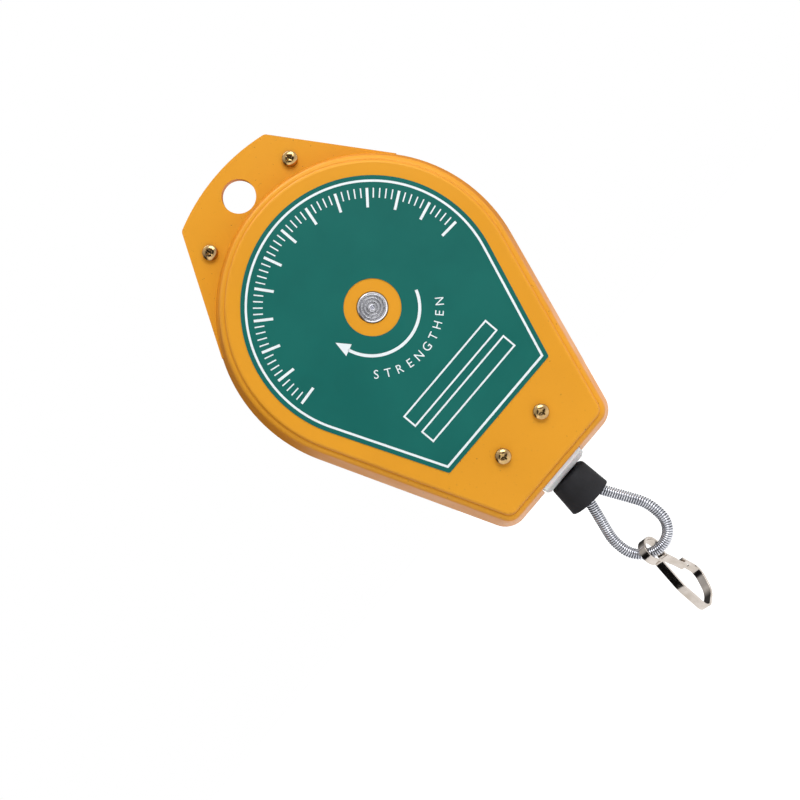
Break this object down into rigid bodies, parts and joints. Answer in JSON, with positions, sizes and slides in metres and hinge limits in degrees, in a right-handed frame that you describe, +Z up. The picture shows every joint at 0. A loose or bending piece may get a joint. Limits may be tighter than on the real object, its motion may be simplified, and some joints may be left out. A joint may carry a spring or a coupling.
{
  "type": "spring balancer",
  "caption": "Small spring balancer with a pressed orange case, hanging ear, green label, guide block, rubber buffer, rope loop and snap hook",
  "frame": {"origin": "centre of the hang hole in the ear, in the plane where the two shells meet", "axes": "X right as seen from the label, Y to the rear, Z up"},
  "size_m": [0.1008, 0.0266, 0.2072],
  "materials": {
    "case_paint": "satin orange-yellow paint",
    "label_green": "printed film",
    "white_nylon": "milky nylon",
    "yellow_zinc": "yellow zinc",
    "bronze": "oiled bronze",
    "bright_steel": "turned steel",
    "hard_steel": "hardened steel",
    "spring_steel": "blue spring steel",
    "cast_alloy": "die cast",
    "wire_rope": "stranded steel rope",
    "crimp_alloy": "pressed crimp",
    "black_rubber": "black rubber",
    "zinc_wire": "close-wound zinc plated wire",
    "nickel": "nickel plate"
  },
  "bodies": {
    "casing": {"front_shell": "case_paint", "rear_shell": "case_paint", "face_label": "label_green", "guide_block": "white_nylon", "ear_screws": "yellow_zinc", "case_screws": "yellow_zinc", "case_nuts": "yellow_zinc", "front_bush": "bronze", "rear_bush": "bronze", "pawl_pin": "bright_steel", "spring_post": "bright_steel", "pawl_spring": "spring_steel", "rope_run": "wire_rope"},
    "spindle": {"spindle": "bright_steel", "ratchet_wheel": "hard_steel", "spindle_clip": "spring_steel", "front_washer": "bright_steel", "rear_washer": "bright_steel"},
    "drum": {"drum": "cast_alloy", "drum_cover": "cast_alloy", "cover_bush": "bronze", "drum_bush": "bronze", "rope_coil": "wire_rope", "rope_anchor": "crimp_alloy", "main_spring": "spring_steel"},
    "pawl": {"pawl": "hard_steel"},
    "rope_end": {"rope_tail": "wire_rope", "ferrule": "crimp_alloy", "loop_rope": "wire_rope", "loop_sleeve": "zinc_wire", "rubber_buffer": "black_rubber"},
    "hook": {"snap_hook": "nickel"},
    "gate": {"hook_gate": "nickel"}
  },
  "joints": [
    {"name": "drum_turn", "type": "hinge", "parent": "casing", "child": "drum", "pos_m": [0, 0, -0.056], "axis": [0, -1, 0], "range_deg": [0, 2080], "stiffness_Nm_per_rad": 0.012, "springref_deg": -687.55},
    {"name": "rope_pull", "type": "slide", "parent": "casing", "child": "rope_end", "axis": [0, 0, -1], "range_m": [0, 1.2], "deforming": ["rope_tail"]},
    {"name": "tension_adjust", "type": "hinge", "parent": "casing", "child": "spindle", "pos_m": [0, 0, -0.056], "axis": [0, 1, 0], "range_deg": [0, 28]},
    {"name": "pawl_lift", "type": "hinge", "parent": "casing", "child": "pawl", "pos_m": [-0.0105, 0.0097, -0.04388], "axis": [0, -1, 0], "range_deg": [0, 10], "deforming": ["pawl_spring"]},
    {"name": "hook_swing", "type": "hinge", "parent": "rope_end", "child": "hook", "pos_m": [-0.00103, 0.00038, -0.1737], "axis": [0.884, -0.3217, -0.3393], "range_deg": [-45, 45]},
    {"name": "gate_press", "type": "hinge", "parent": "hook", "child": "gate", "pos_m": [0.00023, 0.00188, -0.17772], "axis": [-0.766, 0.6428, 0], "range_deg": [0, 12], "stiffness_Nm_per_rad": 0.05, "springref_deg": -11.46}
  ],
  "couplings": [
    {"joint": "rope_pull", "follows": "drum_turn", "m_per_rad": 0.033},
    {"joint": "pawl_lift", "follows": "tension_adjust", "ratio": 0.34}
  ]
}
